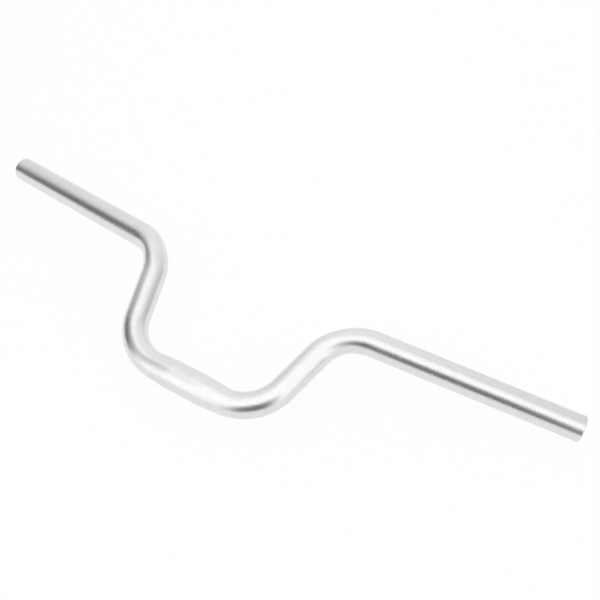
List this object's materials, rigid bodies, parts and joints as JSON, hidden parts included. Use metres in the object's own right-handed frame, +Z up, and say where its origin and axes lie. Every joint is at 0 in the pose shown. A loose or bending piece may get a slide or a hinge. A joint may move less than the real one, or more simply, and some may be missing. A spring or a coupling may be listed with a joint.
{
  "type": "riser handlebar",
  "caption": "One-piece bicycle riser handlebar bent from plain aluminium tube, with a thicker clamp zone at its centre, leaning legs and swept-back open-ended grips.",
  "frame": {"origin": "centre of the clamp zone, on the tube's axis", "axes": "+X along the clamp zone to the rider's left, +Y from the clamp zone towards the grips as the bar lies, +Z up, out of the bar's front"},
  "size_m": [0.5876, 0.1513, 0.0495],
  "materials": {
    "satin_aluminium": "satin anodised silver, fine blasted grain"
  },
  "bodies": {
    "root": {"handlebar": "satin_aluminium"}
  },
  "joints": []
}
